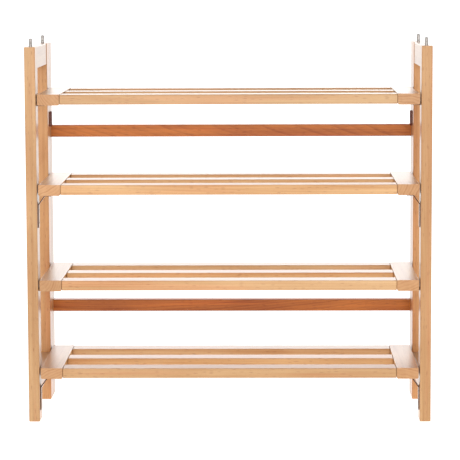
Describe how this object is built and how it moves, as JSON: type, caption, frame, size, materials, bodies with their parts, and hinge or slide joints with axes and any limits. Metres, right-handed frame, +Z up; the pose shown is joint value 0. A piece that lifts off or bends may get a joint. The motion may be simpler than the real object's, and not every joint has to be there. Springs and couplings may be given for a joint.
{
  "type": "shoe rack",
  "caption": "Slatted beech shoe rack with lift-off shelves between hinged side frames; steel pins on the posts let a second rack stand on top.",
  "frame": {"origin": "on the floor under the middle of the rack, all four feet and both back uprights standing on Z = 0", "axes": "+Z up, front of the rack towards -Y, +X to the viewer's right"},
  "size_m": [0.74, 0.288, 0.705],
  "materials": {
    "post_beech": "clear satin lacquer on sawn and sanded beech",
    "shelf_beech": "clear satin lacquer on sawn and sanded beech",
    "back_rail_beech": "clear satin lacquer on redder steamed beech",
    "dowel_beech": "bare dowel wood",
    "pin_steel": "bright zinc plate",
    "peg_steel": "dark bronzed steel",
    "bronze_bracket": "dark bronzed steel, half bright",
    "bracket_screw_steel": "dark bronzed steel, half bright",
    "bronze_hinge": "dark bronzed steel, satin",
    "bronze_screw": "dark bronzed steel, satin"
  },
  "bodies": {
    "frame": {"back_rail_dowels": "dowel_beech", "left_back_upright": "post_beech", "left_bottom_shelf_bracket": "bronze_bracket", "left_bracket_screws": "bracket_screw_steel", "left_frame_dowels": "dowel_beech", "left_front_post": "post_beech", "left_hinge_pins": "bronze_hinge", "left_hinge_screws": "bronze_screw", "left_lower_hinge_back_leaf": "bronze_hinge", "left_lower_hinge_post_leaf": "bronze_hinge", "left_lower_rail": "post_beech", "left_rear_post": "post_beech", "left_shelf_pegs": "peg_steel", "left_stacking_pins": "pin_steel", "left_top_rail": "post_beech", "left_upper_hinge_back_leaf": "bronze_hinge", "left_upper_hinge_post_leaf": "bronze_hinge", "left_upper_shelf_bracket": "bronze_bracket", "lower_back_rail": "back_rail_beech", "right_back_upright": "post_beech", "right_bottom_shelf_bracket": "bronze_bracket", "right_bracket_screws": "bracket_screw_steel", "right_frame_dowels": "dowel_beech", "right_front_post": "post_beech", "right_hinge_pins": "bronze_hinge", "right_hinge_screws": "bronze_screw", "right_lower_hinge_back_leaf": "bronze_hinge", "right_lower_hinge_post_leaf": "bronze_hinge", "right_lower_rail": "post_beech", "right_rear_post": "post_beech", "right_shelf_pegs": "peg_steel", "right_stacking_pins": "pin_steel", "right_top_rail": "post_beech", "right_upper_hinge_back_leaf": "bronze_hinge", "right_upper_hinge_post_leaf": "bronze_hinge", "right_upper_shelf_bracket": "bronze_bracket", "upper_back_rail": "back_rail_beech"},
    "top_shelf": {"top_shelf_front_slat": "shelf_beech", "top_shelf_left_end_board": "shelf_beech", "top_shelf_middle_slat": "shelf_beech", "top_shelf_rear_slat": "shelf_beech", "top_shelf_right_end_board": "shelf_beech"},
    "upper_shelf": {"upper_shelf_front_slat": "shelf_beech", "upper_shelf_left_end_board": "shelf_beech", "upper_shelf_middle_slat": "shelf_beech", "upper_shelf_rear_slat": "shelf_beech", "upper_shelf_right_end_board": "shelf_beech"},
    "lower_shelf": {"lower_shelf_front_slat": "shelf_beech", "lower_shelf_left_end_board": "shelf_beech", "lower_shelf_middle_slat": "shelf_beech", "lower_shelf_rear_slat": "shelf_beech", "lower_shelf_right_end_board": "shelf_beech"},
    "bottom_shelf": {"bottom_shelf_front_slat": "shelf_beech", "bottom_shelf_left_end_board": "shelf_beech", "bottom_shelf_middle_slat": "shelf_beech", "bottom_shelf_rear_slat": "shelf_beech", "bottom_shelf_right_end_board": "shelf_beech"}
  },
  "joints": [
    {"name": "top_shelf_lift", "type": "slide", "parent": "frame", "child": "top_shelf", "axis": [0, 0, 1], "range_m": [0, 0.12]},
    {"name": "upper_shelf_lift", "type": "slide", "parent": "frame", "child": "upper_shelf", "axis": [0, 0, 1], "range_m": [0, 0.12]},
    {"name": "lower_shelf_lift", "type": "slide", "parent": "frame", "child": "lower_shelf", "axis": [0, 0, 1], "range_m": [0, 0.12]},
    {"name": "bottom_shelf_lift", "type": "slide", "parent": "frame", "child": "bottom_shelf", "axis": [0, 0, 1], "range_m": [0, 0.12]}
  ]
}
